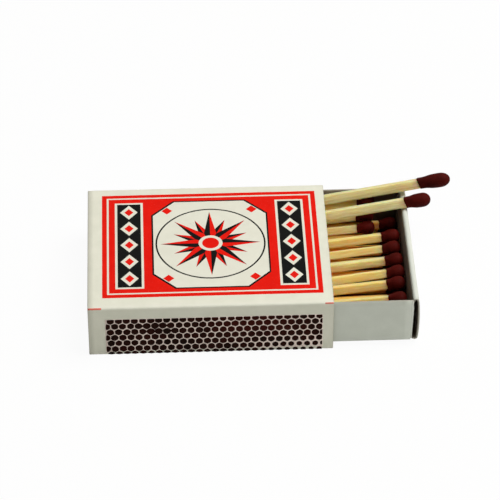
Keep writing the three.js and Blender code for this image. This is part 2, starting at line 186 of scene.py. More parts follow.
class Parts:
    """Collects points, faces, material numbers and point values of one piece's shells."""

    def __init__(self):
        self.points, self.faces, self.slots, self.values = [], [], [], {}
        self.count = 0

    def add(self, points, faces, slot=0, **values):
        """Adds a shell: its points, its sets of faces numbered from 0, its material's number, and any values
        that its points carry."""
        points = np.asarray(points, float).reshape(-1, 3)
        for face_set in faces:
            self.faces.extend((face_set + self.count).tolist())
            self.slots.extend([slot] * len(face_set))
        self.points.append(points)
        for name, value in values.items():
            value = np.asarray(value, float).reshape(len(points), -1)
            self.values.setdefault(name, []).append((self.count, value))
        self.count += len(points)

    def piece(self, name, body, slot, materials, smooth=True):
        """The piece as an object that rides on its body, with its faces pointing outwards and the values of
        its points as attributes, 0 on shells that were added without them."""
        points = np.concatenate(self.points) * MM
        mesh = bpy.data.meshes.new(name)
        mesh.from_pydata(points.tolist(), [], self.faces)
        for material in materials:
            mesh.materials.append(material)
        mesh.polygons.foreach_set("material_index", np.array(self.slots, np.int32))
        mesh.polygons.foreach_set("use_smooth", np.full(len(self.faces), smooth))
        shell = bmesh.new()
        shell.from_mesh(mesh)
        bmesh.ops.recalc_face_normals(shell, faces=shell.faces)
        shell.to_mesh(mesh)
        shell.free()
        for value_name, runs in self.values.items():
            value = np.zeros((self.count, runs[0][1].shape[1]))
            for start, run in runs:
                value[start:start + len(run)] = run
            kind, field = ("FLOAT_VECTOR", "vector") if value.shape[1] == 3 else ("FLOAT", "value")
            layer = mesh.attributes.new(value_name, kind, "POINT")
            layer.data.foreach_set(field, value.astype(np.float32).ravel())
        item = bpy.data.objects.new(name, mesh)
        bpy.context.scene.collection.objects.link(item)
        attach(item, body)
        return item


# Folded card

EDGE_CUT_BACK = 0.3
EDGE_HALF_FLAT = 0.22
EDGE_TONE_ON_FACE = 0.3


def straight_run(start, stop, step, with_stop=False):
    """Evenly spaced points from start to stop, about a step apart. Stop itself is one of them where with_stop
    is set."""
    count = max(int(np.linalg.norm(stop - start) / step), 2)
    return start + np.linspace(0, 1, count, endpoint=with_stop)[:, None] * (stop - start)


def folded_path(corners, radius, fold_steps=7, run_step=1.0):
    """A path through the corners in which each inner corner is an arc of the given radius: the arc starts
    radius * tan(half the turn) before the corner. Returns the points, and 1 on the arcs and 0 elsewhere."""
    corners = np.array(corners, float)
    ahead = unit(np.diff(corners, axis=0))
    points, creases = [], []
    start = corners[0]
    for k in range(1, len(corners) - 1):
        before, after = ahead[k - 1], ahead[k]
        turn = math.atan2(before[0] * after[1] - before[1] * after[0], before @ after)
        reach = radius * math.tan(abs(turn) / 2)
        stop = corners[k] - reach * before
        run = straight_run(start, stop, run_step)
        centre = stop + radius * math.copysign(1, turn) * np.array([-before[1], before[0]])
        angle = np.linspace(0, turn, fold_steps, endpoint=False)[:, None]
        spoke = stop - centre
        arc = centre + np.cos(angle) * spoke + np.sin(angle) * np.array([-spoke[1], spoke[0]])
        points += [run, arc]
        creases += [np.zeros(len(run)), np.ones(fold_steps)]
        start = corners[k] + reach * after
    run = straight_run(start, corners[-1], run_step, with_stop=True)
    return np.concatenate([*points, run]), np.concatenate([*creases, np.zeros(len(run))])


def add_card(parts, middle, thickness, crease, goes_on=(False, False), outside=1, painted_shade=0.0):
    """A sheet of card: the middle surface moved half a thickness to both sides along its normal, closed at
    its cut edges by a rim whose two corners are taken off. At a first or last row where the card goes on as
    the next sheet the corners stay. Keeps for each point how creased it is (wear), how near a cut edge
    (cut), and 1 on the card's inner side (inside), which lies against the normal where outside is 1. The
    last argument is the share of the inner side's tone that the outer side takes, as painted shade."""
    rows, columns = middle.shape[:2]
    size = rows * columns
    along, across = np.gradient(middle, axis=0), np.gradient(middle, axis=1)
    normal = outside * unit(np.cross(along, across))
    corner = EDGE_CUT_BACK * thickness
    first_corner, last_corner = (0 if joined else corner for joined in goes_on)
    face = middle.copy()
    face[0] += first_corner * unit(middle[1] - middle[0])
    face[-1] += last_corner * unit(middle[-2] - middle[-1])
    face[:, 0] += corner * unit(middle[:, 1] - middle[:, 0])
    face[:, -1] += corner * unit(middle[:, -2] - middle[:, -1])
    index = np.arange(size).reshape(rows, columns)
    border = np.concatenate([index[0, :-1], index[:-1, -1], index[-1, :0:-1], index[:0:-1, 0]])
    flat_middle, flat_normal = middle.reshape(-1, 3), normal.reshape(-1, 3)
    rims = [flat_middle[border] + share * thickness * flat_normal[border]
            for share in (EDGE_HALF_FLAT, -EDGE_HALF_FLAT)]
    half = thickness / 2 * flat_normal
    points = np.concatenate([face.reshape(-1, 3) + half, face.reshape(-1, 3) - half, *rims])
    ring = 2 * size + np.arange(len(border))
    faces = [
        grid_faces(rows, columns),
        grid_faces(rows, columns, size)[:, ::-1],
        strip_faces(border, ring),
        strip_faces(ring, ring + len(border)),
        strip_faces(ring + len(border), border + size),
    ]
    rim = np.tile(border, 2)
    wear = np.broadcast_to(crease, (rows, columns)).ravel()
    cut = np.zeros((rows, columns))
    cut[:, 0] = cut[:, -1] = 1
    cut[0], cut[-1] = (1 - joined for joined in goes_on)
    cut = cut.ravel()
    outer = np.broadcast_to(painted_shade, (rows, columns)).ravel()
    parts.add(points, faces, 0,
              wear=np.concatenate([wear, wear, wear[rim]]),
              cut=np.concatenate([EDGE_TONE_ON_FACE * cut, EDGE_TONE_ON_FACE * cut, cut[rim]]),
              inside=np.concatenate([outer, np.ones(size), np.full(2 * len(border), 0.5)]))


# Sleeve: the blank is measured by x and by s, the length along the card's middle from the lap's free edge

middle_y = SLEEVE_HALF_WIDTH - SLEEVE_CARD / 2
sleeve_corners = [
    (SLEEVE_HALF_WIDTH - SLEEVE_CARD - LAP_WIDTH, 1.5 * SLEEVE_CARD + GLUE),
    (middle_y, 1.5 * SLEEVE_CARD + GLUE),
    (middle_y, SLEEVE_TOP - SLEEVE_CARD / 2),
    (-middle_y, SLEEVE_TOP - SLEEVE_CARD / 2),
    (-middle_y, SLEEVE_CARD / 2),
    (SLEEVE_HALF_WIDTH - LAP_SET_BACK, SLEEVE_CARD / 2),
]
sleeve_path, sleeve_crease = folded_path(sleeve_corners, SLEEVE_FOLD - SLEEVE_CARD / 2, fold_steps=9,
                                         run_step=0.8)
sleeve_s = np.concatenate([[0], np.cumsum(np.linalg.norm(np.diff(sleeve_path, axis=0), axis=1))])
fold_starts = sleeve_s[np.flatnonzero(np.diff(sleeve_crease, prepend=0) > 0)]
fold_ends = sleeve_s[np.flatnonzero(np.diff(sleeve_crease, append=0) < 0)]
BACK_WALL, ROOF, FRONT_WALL = ((fold_ends[k] + fold_starts[k + 1]) / 2 for k in range(3))


def sleeve_spring(x, s):
    """How far the card stands off its flat panels. Each panel is an arch between its folds, its height times
    sin(pi * share of the way across), outwards on the roof and a little inwards on the walls and the floor.
    The arch is fullest halfway along the sleeve, as 0.75 + 0.25 cos(0.06 x)."""
    edges = np.concatenate([[sleeve_s[0]], (fold_starts + fold_ends) / 2, [sleeve_s[-1]]])
    heights = np.array([0, -WALL_HOLLOW, ROOF_CROWN, -WALL_HOLLOW, -WALL_HOLLOW])
    panel = np.clip(np.searchsorted(edges, s, side="right") - 1, 0, len(heights) - 1)
    share = (s - edges[panel]) / (edges[panel + 1] - edges[panel])
    return heights[panel] * np.sin(np.pi * np.clip(share, 0, 1)) * (0.75 + 0.25 * np.cos(x * 0.06))


def on_blank(x, s, lift):
    """Points over the outside of the folded card at x and s: the path's point and its normal at s, moved
    out by half the card, its spring and the lift."""
    x, s, lift = np.broadcast_arrays(np.asarray(x, float), np.asarray(s, float), np.asarray(lift, float))
    ahead = np.gradient(sleeve_path, sleeve_s, axis=0)
    y, z = (np.interp(s, sleeve_s, sleeve_path[:, k]) for k in (0, 1))
    ahead_y, ahead_z = (np.interp(s, sleeve_s, ahead[:, k]) for k in (0, 1))
    out = SLEEVE_CARD / 2 + sleeve_spring(x, s) + lift
    return np.stack([x, y + ahead_z * out, z - ahead_y * out], -1)


def make_sleeve(materials):
    """The sleeve's card: the folded path carried along x, the card's middle half a card inside its outer
    side."""
    x = np.linspace(-SLEEVE_HALF_LENGTH, SLEEVE_HALF_LENGTH, SLEEVE_COLUMNS)
    middle = on_blank(x[None, :], sleeve_s[:, None], -SLEEVE_CARD / 2)
    parts = Parts()
    add_card(parts, middle, SLEEVE_CARD, sleeve_crease[:, None])
    sleeve = parts.piece("sleeve_card", "sleeve", "printed_card", materials)
    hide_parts("sleeve")


# Print: each shape lies between two closed outlines, as rings that run evenly from one to the other


def polygon(corners, per_side):
    """Points spaced evenly on each side of a closed polygon."""
    corners = np.array(corners, float)
    share = np.linspace(0, 1, per_side, endpoint=False)[None, :, None]
    following = np.roll(corners, -1, axis=0)
    return (corners[:, None] + share * (following - corners)[:, None]).reshape(-1, 2)


def circle(centre, radius, count=64):
    """Points spaced evenly round a circle."""
    angle = np.linspace(0, 2 * np.pi, count, endpoint=False)
    return np.array(centre) + radius * np.stack([np.cos(angle), np.sin(angle)], -1)


def rectangle(left, right, front, back, cut=0.0):
    """A rectangle's corners, each cut off at 45 degrees where cut isn't 0."""
    if not cut:
        return [(left, front), (right, front), (right, back), (left, back)]
    return [(left + cut, front), (right - cut, front), (right, front + cut), (right, back - cut),
            (right - cut, back), (left + cut, back), (left, back - cut), (left, front + cut)]


def diamond(centre, half_width, half_height):
    """The corners of a diamond that stands on its tip."""
    x, y = centre
    return [(x - half_width, y), (x, y - half_height), (x + half_width, y), (x, y + half_height)]


def add_print(parts, outline, slot, layer, inside=None, rings=6, by_s=False):
    """A thin flat shell over the card between an outline and its middle, or between two outlines. Each ring
    lies at an even share of the way out from the inner one. Outlines are (x, y) on the roof, or (x, s) on the
    blank where by_s is set. The shell's top lies layer times INK above the card."""

    def over_card(flat, lift):
        s = flat[..., 1] if by_s else ROOF - flat[..., 1]
        return on_blank(flat[..., 0], s, lift)

    outline = np.array(outline, float)
    middle = outline.mean(0)
    inner = middle + 0 * outline if inside is None else np.array(inside, float)
    share = np.linspace(0, 1, rings + 1)[1 if inside is None else 0:, None, None]
    flat = inner + share * (outline - inner)
    count, size = len(outline), flat.shape[0] * len(outline)
    lifts = (layer * INK, UNDER_PRINT)
    points = [over_card(flat, lift).reshape(-1, 3) for lift in lifts]
    first, last = np.arange(count), size - count + np.arange(count)
    faces = [
        grid_faces(flat.shape[0], count, 0, True),
        grid_faces(flat.shape[0], count, size, True)[:, ::-1],
        strip_faces(last, last + size),
    ]
    if inside is None:
        points.append(np.stack([over_card(middle, lift) for lift in lifts]))
        faces += [fan_faces(first, 2 * size), fan_faces(first + size, 2 * size + 1)[:, ::-1]]
    else:
        faces.append(strip_faces(first + size, first))
    parts.add(np.concatenate(points), faces, slot)


RED, BLACK, WHITE = range(3)
BAND_EDGE = 0.5
BAND_DIAMONDS = 5


def add_side_band(parts, left, right, front, back):
    """A black upright band with a white edge and a row of white diamonds that have red middles."""
    edge = rectangle(left - BAND_EDGE, right + BAND_EDGE, front - BAND_EDGE, back + BAND_EDGE)
    add_print(parts, polygon(edge, 10), WHITE, 2)
    add_print(parts, polygon(rectangle(left, right, front, back), 10), BLACK, 3)
    pitch = (back - front) / BAND_DIAMONDS
    for k in range(BAND_DIAMONDS):
        centre = ((left + right) / 2, front + (k + 0.5) * pitch)
        add_print(parts, polygon(diamond(centre, 1.85, 2.35), 4), WHITE, 4, rings=2)
        add_print(parts, polygon(diamond(centre, 0.95, 1.2), 3), RED, 5, rings=2)


def add_star(parts, centre, points, inner, outer, layer, turn=0.0):
    """A star whose points are kites, split along the middle into a red and a black half."""
    middle = np.array(centre)
    for k in range(points):
        angles = turn + 2 * np.pi * (k + np.array([-0.5, 0, 0.5])) / points
        ring = np.stack([np.cos(angles), np.sin(angles)], -1) * np.array([inner, outer, inner])[:, None]
        low, tip, high = middle + ring
        add_print(parts, polygon([middle, low, tip], 4), RED, layer, rings=2)
        add_print(parts, polygon([middle, tip, high], 4), BLACK, layer, rings=2)


def inset(width):
    """The label's corners, moved in by a width on every side."""
    return rectangle(LABEL_LEFT + width, LABEL_RIGHT - width, LABEL_FRONT + width, LABEL_BACK - width)


def make_label(materials):
    """The roof's print, in layers one ink's thickness apart: a red field with a white line inside its edge,
    two side bands, and a white panel with a black key line that holds a ring, a star in two sizes and four
    small diamonds."""
    parts = Parts()
    middle = np.array([(LABEL_LEFT + LABEL_RIGHT) / 2, (LABEL_FRONT + LABEL_BACK) / 2])
    half_height = (LABEL_BACK - LABEL_FRONT) / 2
    line_out, line_in = polygon(inset(1.0), 20), polygon(inset(1.4), 20)
    add_print(parts, polygon(inset(0), 24), RED, 1, rings=10)
    add_print(parts, line_out, WHITE, 2, inside=line_in, rings=1)

    band_out, band_width, band_end = 3.2, 4.9, 3.2
    front, back = LABEL_FRONT + band_end, LABEL_BACK - band_end
    add_side_band(parts, LABEL_LEFT + band_out, LABEL_LEFT + band_out + band_width, front, back)
    add_side_band(parts, LABEL_RIGHT - band_out - band_width, LABEL_RIGHT - band_out, front, back)

    panel_half, panel_end, cut, key = 12.2, 2.4, 4.6, 0.35
    panel = rectangle(middle[0] - panel_half, middle[0] + panel_half,
                      LABEL_FRONT + panel_end, LABEL_BACK - panel_end, cut)
    within = rectangle(middle[0] - panel_half + key, middle[0] + panel_half - key,
                       LABEL_FRONT + panel_end + key, LABEL_BACK - panel_end - key, cut - 0.2 * key)
    add_print(parts, polygon(panel, 8), BLACK, 2, rings=6)
    add_print(parts, polygon(within, 8), WHITE, 3, rings=6)

    ring_in, star_points, hub, hub_eye = 2.9, 8, 2.5, 1.75
    ring = half_height - panel_end - ring_in
    small_star, large_star = (3.1, ring - 3.2), (3.4, ring - 1.1)
    add_print(parts, circle(middle, ring), BLACK, 4, inside=circle(middle, ring - key), rings=1)
    add_star(parts, middle, star_points, *small_star, 4, np.pi / star_points)
    add_star(parts, middle, star_points, *large_star, 5)
    add_print(parts, circle(middle, hub, 40), WHITE, 6, rings=2)
    add_print(parts, circle(middle, hub_eye, 32), RED, 7, rings=2)
    from_corner, small = 3.3, 1.15
    for x_side in (-1, 1):
        for y_side in (-1, 1):
            corner = middle + np.array([x_side * (panel_half - from_corner),
                                        y_side * (half_height - panel_end - from_corner)])
            add_print(parts, polygon(diamond(corner, small, small), 3), RED, 4, rings=2)
    parts.piece("printed_label", "sleeve", "printed_card", materials, smooth=False)


def make_fold_ticks(material):
    """Short red printer's lines on the roof's front fold at both mouths, and on its back fold at one. Each is
    a rectangle from left to right in x, and half its width to both sides of a line in s."""
    parts = Parts()
    front_fold, back_fold = fold_starts[2] + 0.22, fold_ends[1] - 0.2
    ticks = (
        (-SLEEVE_HALF_LENGTH + 0.05, -22.2, front_fold, 0.10),
        (23.2, SLEEVE_HALF_LENGTH - 0.1, front_fold, 0.08),
        (22.4, 23.6, back_fold, 0.05),
    )
    for left, right, s, half in ticks:
        add_print(parts, polygon(rectangle(left, right, s - half, s + half), 4), 0, 1, rings=2, by_s=True)
    parts.piece("fold_ticks", "sleeve", "printed_card", [material])


# Striking strips


def bell(places, middle, spread):
    """exp of minus the sum, over x and z, of the squared distance from the middle divided by the spread."""
    return np.exp(-((places - middle) ** 2 / np.array(spread)).sum(-1))


def pad_edge(centres, angles, low, high):
    """For each pad a point inside it, and the distance from there to its edge along each ray: a soft minimum
    over the hexagon's six sides, so that its corners are round, and a hard one over the strip's sides. Also
    the point's distance to the nearest of the six."""
    apothem = PAD_ACROSS_FLATS / 2
    margin, pull, softness, parallel, no_room = 0.03, 0.15, 10, 1e-6, 1e-4
    inner = np.clip(centres, low + margin, high - margin)
    inner = np.where(inner == centres, centres, (inner + centres * pull) / (1 + pull))
    rays = np.stack([np.cos(angles), np.sin(angles)], -1)
    sides = np.arange(6) * np.pi / 3
    normals = np.stack([np.cos(sides), np.sin(sides)], -1)
    room = apothem - (inner - centres) @ normals.T
    speed = np.maximum(rays @ normals.T, parallel)
    nearness = speed[None] / np.maximum(room[:, None], no_room)
    reach = (nearness ** softness).sum(-1) ** (-1 / softness)
    to_high = (high - inner)[:, None] / np.where(rays > parallel, rays, np.inf)[None]
    to_low = (low - inner)[:, None] / np.where(rays < -parallel, rays, -np.inf)[None]
    to_high = np.where(rays[None] > parallel, to_high, np.inf)
    to_low = np.where(rays[None] < -parallel, to_low, np.inf)
    return inner, reach, np.minimum(to_high.min(-1), to_low.min(-1)), room.min(-1)


def pad_places(draw, low, high):
    """The pads' middles in (x, z): rows that rise a little along x, every second one moved on by half a
    pitch, each pad scattered, as far as they reach into the strip. The smears come last."""
    rows, columns = np.meshgrid(np.arange(-PAD_ROWS, PAD_ROWS + 1), np.arange(-PAD_COLUMNS, PAD_COLUMNS + 1),
                                indexing="ij")
    x = (columns + 0.5 * (rows % 2 == 0)) * PAD_PITCH
    grid = np.stack([x, rows * ROW_PITCH + PADS_TILT * x], -1).reshape(-1, 2) + np.array(PADS_MIDDLE)
    spare = PAD_OVERHANG * PAD_ACROSS_FLATS / 2
    grid = grid[((grid > low - spare) & (grid < high + spare)).all(-1)]
    return np.concatenate([grid + draw.normal(0, PAD_SCATTER, grid.shape), SMEARS])


def pad_swell(draw, grid):
    """How much larger each pad is than the plain hexagon: more as a bell round the smudge, less in even steps
    towards the strip's lower right, and a random share. The smears are small."""
    more, less, spread = 0.10, 0.28, 0.022
    rightwards, downwards = (grid[:, 0] - 4) / 14, (4.6 - grid[:, 1]) / 4
    swell = 1 + more * bell(grid, SMUDGE, SMUDGE_SPREAD)
    swell -= less * np.clip(rightwards, 0, 1) * np.clip(downwards, 0, 1)
    swell *= draw.normal(1.0, spread, len(grid))
    swell[-len(SMEARS):] = draw.uniform(*SMEAR_SHARES, len(SMEARS))
    return swell


def make_strip(name, node, wall_s, upward, seed, materials):
    """A pale net with a honeycomb of low dark pads on it. Each pad is a middle point and one ring for each of
    PAD_RINGS, at a share of the way to its edge and a share of its height. upward is True where s grows
    upwards on the strip's wall."""
    draw = np.random.default_rng(seed)
    low, high = np.array([STRIP_LEFT, STRIP_FLOOR]), np.array([STRIP_RIGHT, STRIP_CEILING])
    grid = pad_places(draw, low, high)
    angles = np.linspace(0, 2 * np.pi, PAD_RAYS, endpoint=False) + np.pi / PAD_RAYS
    inner, edge, wall, room = pad_edge(grid, angles, low, high)
    keep = room > LEAST_ROOM
    grid, inner, edge, wall = grid[keep], inner[keep], edge[keep], wall[keep]
    swell = pad_swell(draw, grid)
    # Each pad's red: a painted highlight as a bell round the patch, and a random share
    redness = bell(grid, RED_HIGHLIGHT_PATCH, RED_HIGHLIGHT_SPREAD) + draw.normal(*RED_SCATTER, len(grid))
    ragged = draw.normal(1.0, PAD_RAGGED, edge.shape)
    edge = np.minimum(edge * swell[:, None] * ragged, wall)
    rays = np.stack([np.cos(angles), np.sin(angles)], -1)
    shares, heights = np.array(PAD_RINGS).T
    lifts = heights * PAD_LIFT
    flat = inner[:, None, None] + (edge[:, None] * shares[None, :, None])[..., None] * rays
    rough = draw.normal(0, PAD_ROUGH, flat.shape[:3]) * (lifts > 0)[None, :, None]
    turn = 1 if upward else -1

    def to_s(z):
        return wall_s + turn * (z - SLEEVE_TOP / 2)

    points = on_blank(flat[..., 0], to_s(flat[..., 1]), lifts[None, :, None] + rough)
    poles = on_blank(inner[:, 0], to_s(inner[:, 1]), PAD_LIFT)
    feet = on_blank(inner[:, 0], to_s(inner[:, 1]), 0.0)
    rings = len(shares)
    each = PAD_RAYS * rings + 2
    block = np.concatenate([points.reshape(len(grid), -1, 3), poles[:, None], feet[:, None]], 1)
    quads = grid_faces(rings, PAD_RAYS, 0, True)
    caps = np.concatenate([fan_faces(np.arange(PAD_RAYS) + (rings - 1) * PAD_RAYS, each - 2),
                           fan_faces(np.arange(PAD_RAYS)[::-1], each - 1)])
    starts = each * np.arange(len(grid))[:, None, None]
    parts = Parts()
    first_s, last_s = sorted(to_s(z) for z in (STRIP_FLOOR, STRIP_CEILING))
    net = rectangle(STRIP_LEFT - NET_MARGIN_X, STRIP_RIGHT + NET_MARGIN_X,
                    first_s - NET_MARGIN_S, last_s + NET_MARGIN_S)
    add_print(parts, polygon(net, 20), 0, NET_LIFT / INK, rings=6, by_s=True)
    parts.add(block, [(starts + quads).reshape(-1, 4), (starts + caps).reshape(-1, 3)], 1,
              redness=np.repeat(np.clip(redness, 0, 1), each))
    strip = parts.piece(name, "sleeve", "striking_strip", materials)
    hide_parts(node)


# Tray


def end_wall_path(out, bow):
    """The end wall in (distance out from the inner panel's face, z): along the floor, round the foot fold at
    the distance out, up the outer panel, which is bowed as sin(pi * share) ** 0.6, over the rim in a half
    circle, and down the inner panel, which eases back to 0 below the rim. With it, for each point: how
    creased it is, half its width, and how much painted shade it has: the inner panel darkens as shade
    from just below the rim down. The outer panel is the wider one, and narrows below the shoulder to fit
    between the side walls."""
    floor_steps, fold_steps, panel_steps, rim_steps, inner_steps = END_WALL_STEPS
    foot = TRAY_BOTTOM + TRAY_FOLD
    floor_x = np.linspace(out - TRAY_FOLD - FLOOR_OVERLAP, out - TRAY_FOLD, floor_steps, endpoint=False)
    floor = np.stack([floor_x, np.full(floor_steps, FLOOR_Z)], -1)
    angle = np.linspace(0, np.pi / 2, fold_steps, endpoint=False)
    fold = np.stack([out - TRAY_FOLD + FOLD_RADIUS * np.sin(angle), foot - FOLD_RADIUS * np.cos(angle)], -1)
    share = np.linspace(0, 1, panel_steps, endpoint=False)
    bulge = bow * np.sin(np.pi * share) ** 0.6
    panel = np.stack([out - TRAY_CARD / 2 + bulge, foot + (SHOULDER - foot) * share], -1)
    rim_radius = (RIM_DEPTH - TRAY_CARD) / 2
    angle = np.linspace(0, np.pi, rim_steps, endpoint=False)
    rim = np.stack([out - RIM_DEPTH / 2 + rim_radius * np.cos(angle),
                    SHOULDER + rim_radius * np.sin(angle)], -1)
    down = np.linspace(SHOULDER, ABOVE_FLOOR, inner_steps)
    ease = np.clip((down - (SHOULDER - RIM_EASE)) / RIM_EASE, 0, 1)
    inner = np.stack([TRAY_CARD / 2 + (out - RIM_DEPTH) * eased(ease), down], -1)

    path = np.concatenate([floor, fold, panel, rim, inner])
    crease = np.repeat([0.0, 1.0, 0.0, 0.8, 0.0], END_WALL_STEPS)
    # Painted shade: down the inner panel, from 0.1 mm above the shoulder to full 0.6 mm lower, the outer side
    # takes the dark inner tone, for the shade inside the tray's end
    painted_shade_from, painted_shade_over = 0.1, 0.6
    painted_shade = np.zeros(len(path))
    painted_shade[-inner_steps:] = np.clip((SHOULDER + painted_shade_from - down) / painted_shade_over, 0, 1)
    between_walls = TRAY_HALF_WIDTH - TRAY_CARD - CARD_PLAY
    widest = TRAY_HALF_WIDTH - PANEL_SET_BACK
    taper_from, taper_over = 1.3, 1.1
    taper = np.clip((path[:, 1] - (SHOULDER - taper_from)) / taper_over, 0, 1)
    half_width = widest + (between_walls - widest) * taper
    half_width[:floor_steps - 1] = between_walls
    half_width[-rim_steps - inner_steps:] = between_walls
    return path, crease, half_width, painted_shade


def add_trough(parts, start, stop):
    """The tray's floor and side walls: a U in (y, z) with two round folds, carried along x."""
    corners = [(-WALL_Y, TRAY_RIM), (-WALL_Y, FLOOR_Z), (WALL_Y, FLOOR_Z), (WALL_Y, TRAY_RIM)]
    trough, crease = folded_path(corners, FOLD_RADIUS, run_step=1.2)
    middle = np.empty((TROUGH_COLUMNS, len(trough), 3))
    middle[..., 0] = np.linspace(start, stop, TROUGH_COLUMNS)[:, None]
    middle[..., 1:] = trough
    add_card(parts, middle, TRAY_CARD, crease, (True, True), -1)


def add_end_wall(parts, fold_x, sign, out, bow):
    """A doubled end wall: its path carried across the tray from -1 to 1 times its half width. sign is 1 at
    the front end and -1 at the back."""
    wall, crease, half_width, painted_shade = end_wall_path(out, bow)
    y = half_width[:, None] * np.linspace(-1, 1, WALL_COLUMNS)[None, :]
    x = fold_x - sign * END_WALL_DEPTH + sign * wall[:, 0, None] + 0 * y
    z = wall[:, 1, None] + 0 * y
    # The inner panel's painted shade goes in as the share of the inner tone on the card's outer side
    add_card(parts, np.stack([x, y, z], -1), TRAY_CARD, crease[:, None], outside=-sign, painted_shade=painted_shade[:, None])


def add_corner_flap(parts, wall_end, fold_x, sign, side):
    """A corner flap: the side wall from where the trough ends, turned in round an upright fold. Its top comes
    down from the rim to FLAP_TOP while it turns, eased, and its foot leans in by CORNER_LEAN."""
    flap_x = fold_x - sign * (SIDE_WALL_SET_BACK + TRAY_CARD / 2)
    corners = [(wall_end, side * WALL_Y), (flap_x, side * WALL_Y),
               (flap_x, side * (TRAY_HALF_WIDTH - CORNER_FLAP))]
    plan, crease = folded_path(corners, FOLD_RADIUS, fold_steps=14, run_step=0.8)
    turned = np.cumsum(crease) / crease.sum()
    lowering_from, lowering_over = 0.45, 0.5
    top = TRAY_RIM + (FLAP_TOP - TRAY_RIM) * eased(np.clip((turned - lowering_from) / lowering_over, 0, 1))
    rise = np.linspace(0, 1, FLAP_ROWS)
    z = ABOVE_FLOOR + (top[:, None] - ABOVE_FLOOR) * rise
    x = plan[:, :1] - sign * CORNER_LEAN * turned[:, None] * (1 - rise)
    middle = np.stack([x, plan[:, 1:] + 0 * x, z], -1)
    add_card(parts, middle, TRAY_CARD, crease[:, None], (True, False), -side * sign)


def make_tray(materials):
    """The tray's card: a trough, and at each end a doubled wall with two corner flaps behind it. The front
    wall's outer panel stands FRONT_LEAN further out."""
    parts = Parts()
    start = TRAY_BACK_FOLD_X + SIDE_WALL_SET_BACK + TRAY_FOLD
    stop = TRAY_FRONT_FOLD_X - SIDE_WALL_SET_BACK - TRAY_FOLD
    add_trough(parts, start, stop)
    for wall_end, fold_x, sign, lean in ((stop, TRAY_FRONT_FOLD_X, 1, FRONT_LEAN),
                                         (start, TRAY_BACK_FOLD_X, -1, 0.0)):
        add_end_wall(parts, fold_x, sign, END_WALL_DEPTH + lean, TRAY_BOW - lean)
        for side in (-1, 1):
            add_corner_flap(parts, wall_end, fold_x, sign, side)
    tray = parts.piece("tray_card", "tray", "grey_card", materials)
    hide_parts("tray")


# Matches


def node_points(node):
    """A CAD node's points in millimetres."""
    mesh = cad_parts[node].data
    points = np.empty(len(mesh.vertices) * 3)
    mesh.vertices.foreach_get("co", points)
    return points.reshape(-1, 3) / MM


def stick_axes(node):
    """Of a stick's box: its tail's middle, the directions along it, across it and up, its length, and its
    side. The tail's four corners are the lowest in x, and the neck's four the highest."""
    points = np.unique(node_points(node).round(3), axis=0)
    order = np.argsort(points[:, 0])
    tail, neck = points[order[:4]].mean(0), points[order[-4:]].mean(0)
    along = unit(neck - tail)
    across = unit(np.cross([0, 0, 1.0], along))
    up = np.cross(along, across)
    side = np.ptp(points @ across)
    return tail, along, across, up, float(np.linalg.norm(neck - tail)), float(side)


def round_square(angle, power):
    """Distance from the middle of a square of half side 1 to its edge, its corners rounded more the lower
    the power is: 2 gives a circle."""
    return (np.abs(np.cos(angle)) ** power + np.abs(np.sin(angle)) ** power) ** (-1 / power)


def waves(draw, count, low, high):
    """Random wave numbers and phases for a sum of sines."""
    return draw.integers(low, high, count), draw.uniform(0, 2 * np.pi, count)


def add_stick(parts, node, draw, look):
    """A split splint: a square section with worn corners and long ridges, which are a sum of sines of the
    angle. Along it the section drifts by a sum of sines of u, and swells and sinks as
    sin(pi * (u / length) ** 0.8), where u is the distance from its tail."""
    tail, along, across, up, length, side = stick_axes(node)
    side *= look["stout"]
    angle = (np.arange(4)[:, None] * np.pi / 2 + CORNER_ANGLES[None]).ravel()
    u = np.concatenate([[0], np.linspace(0.04, length, STICK_ROWS)])
    planed, ridge_height, drift_height, tail_share, farthest_plank = 0.012, 0.006, 0.008, 0.94, 60
    ridge_number, ridge_phase = waves(draw, 5, 3, 17)
    ridges = np.sin(angle[:, None] * ridge_number + ridge_phase).sum(1) * ridge_height
    swing_number, swing_phase = waves(draw, 3, 1, 5)
    drift = np.sin(u[:, None] / length * np.pi * swing_number + swing_phase).sum(1) * drift_height
    middle = np.sin(np.pi * (u / length) ** 0.8)
    drift += look["swell"] * middle
    square = round_square(angle, STICK_SQUARENESS)
    radius = side / 2 * square[None] * (1 - planed + ridges[None] + drift[:, None])
    radius[0] *= tail_share
    turned = angle + look["roll"]
    points = (tail + u[:, None, None] * along - (look["sink"] * side * middle)[:, None, None] * up
              + (radius * np.cos(turned))[..., None] * across
              + (radius * np.sin(turned))[..., None] * up)
    poles = np.stack([tail, tail + length * along])
    offset = draw.uniform(0, farthest_plank, 3)
    grain = np.stack([(u - length)[:, None] + 0 * angle, radius * np.cos(angle), radius * np.sin(angle)], -1)
    grain = np.concatenate([grain.reshape(-1, 3), [[-length, 0, 0], [0, 0, 0]]])
    parts.add(np.concatenate([points.reshape(-1, 3), poles]), tube_faces(len(u), len(angle)), 0, grain=grain,
              plank=np.tile(offset, (len(grain), 1)), tint=np.full(len(grain), look["tint"]))


def head_radius(t, neck, full):
    """The head's radius at a share t of its length: it swells as the sine of a quarter turn to the power 1.1,
    from the neck to its full radius at FULLEST, then closes as a blunt dome, sqrt(1 - fall ** 2.2)."""
    rise = np.clip(t / FULLEST, 0, 1)
    fall = np.clip((t - FULLEST) / (1 - FULLEST), 0, 1)
    swollen = neck + (full - neck) * np.sin(np.pi / 2 * rise) ** 1.1
    return swollen * np.sqrt(np.maximum(1 - fall ** 2.2, 0))


